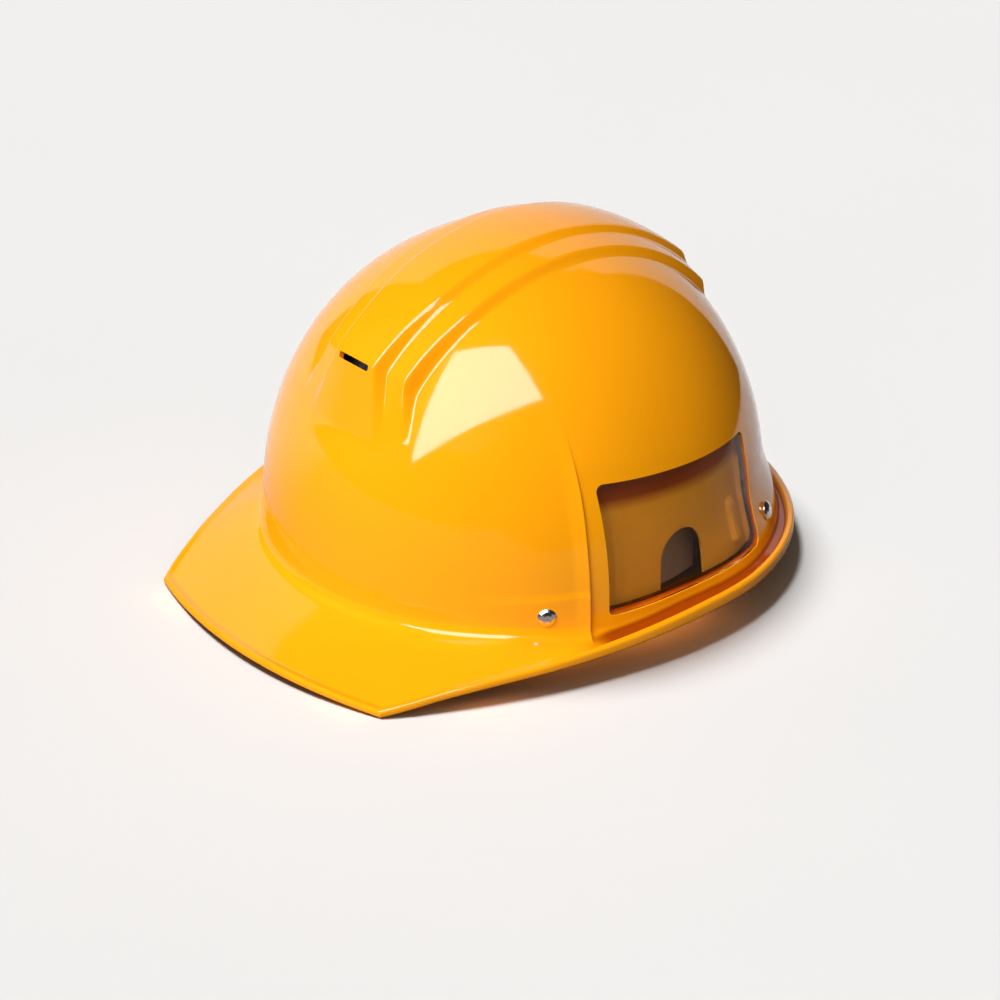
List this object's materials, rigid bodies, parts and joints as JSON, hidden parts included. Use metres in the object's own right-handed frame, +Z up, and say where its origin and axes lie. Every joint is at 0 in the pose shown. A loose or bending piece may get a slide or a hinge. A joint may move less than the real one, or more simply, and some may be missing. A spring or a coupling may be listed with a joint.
{
  "type": "safety helmet",
  "caption": "Peaked safety helmet with a stepped crown ridge, rain gutter, clear-fronted side card pockets and an inner headband that a rear knob tightens.",
  "frame": {"origin": "bottom centre of the whole helmet's bounding box, on the surface it rests on", "axes": "+Z up, -Y forward over the peak, +X towards the wearer's left"},
  "size_m": [0.2288, 0.2798, 0.1522],
  "materials": {
    "shell_yellow": "smooth glossy moulded plastic",
    "smoky_clear": "clear, slightly smoky sheet",
    "tray_yellow": "satin moulded plastic",
    "bright_steel": "bright plated steel",
    "dark_plastic": "fine matt moulded plastic",
    "pale_plastic": "fine matt moulded plastic",
    "grey_foam": "beaded foam",
    "grey_webbing": "woven webbing",
    "pad_fabric": "brushed cloth over foam",
    "white_plastic": "plain moulded plastic"
  },
  "bodies": {
    "helmet": {"shell": "shell_yellow", "window_lens_left": "smoky_clear", "window_lens_right": "smoky_clear", "card_tray_left": "tray_yellow", "card_tray_right": "tray_yellow", "shell_rivets": "bright_steel", "rivet_washers": "bright_steel", "hanger_front_left": "dark_plastic", "hanger_front_right": "dark_plastic", "hanger_rear_left": "dark_plastic", "hanger_rear_right": "dark_plastic", "impact_liner": "grey_foam", "crown_strap_lower": "grey_webbing", "crown_strap_upper": "grey_webbing", "crown_pad": "pad_fabric", "headband": "pale_plastic", "sweatband": "pad_fabric", "nape_cradle": "dark_plastic", "ratchet_housing": "dark_plastic", "ratchet_cover": "dark_plastic", "ratchet_screws": "bright_steel", "detent_ring": "bright_steel", "nape_pad": "pad_fabric"},
    "knob": {"ratchet_knob": "dark_plastic", "ratchet_pinion": "white_plastic", "knob_screw": "bright_steel"},
    "arm_left": {"arm_left": "dark_plastic"},
    "arm_right": {"arm_right": "dark_plastic"}
  },
  "joints": [
    {"name": "knob_turn", "type": "hinge", "parent": "helmet", "child": "knob", "pos_m": [0, 0.1056, 0.017], "axis": [0, -1, 0], "range_deg": [-187, 233.9]},
    {"name": "arm_left_slide", "type": "hinge", "parent": "helmet", "child": "arm_left", "pos_m": [0, 0.0221, 0.017], "axis": [0, 0, 1], "range_deg": [-14, 17.5]},
    {"name": "arm_right_slide", "type": "hinge", "parent": "helmet", "child": "arm_right", "pos_m": [0, 0.0221, 0.017], "axis": [0, 0, 1], "range_deg": [-17.5, 14]}
  ],
  "couplings": [
    {"joint": "arm_left_slide", "follows": "knob_turn", "ratio": 0.074813},
    {"joint": "arm_right_slide", "follows": "knob_turn", "ratio": -0.074813}
  ]
}
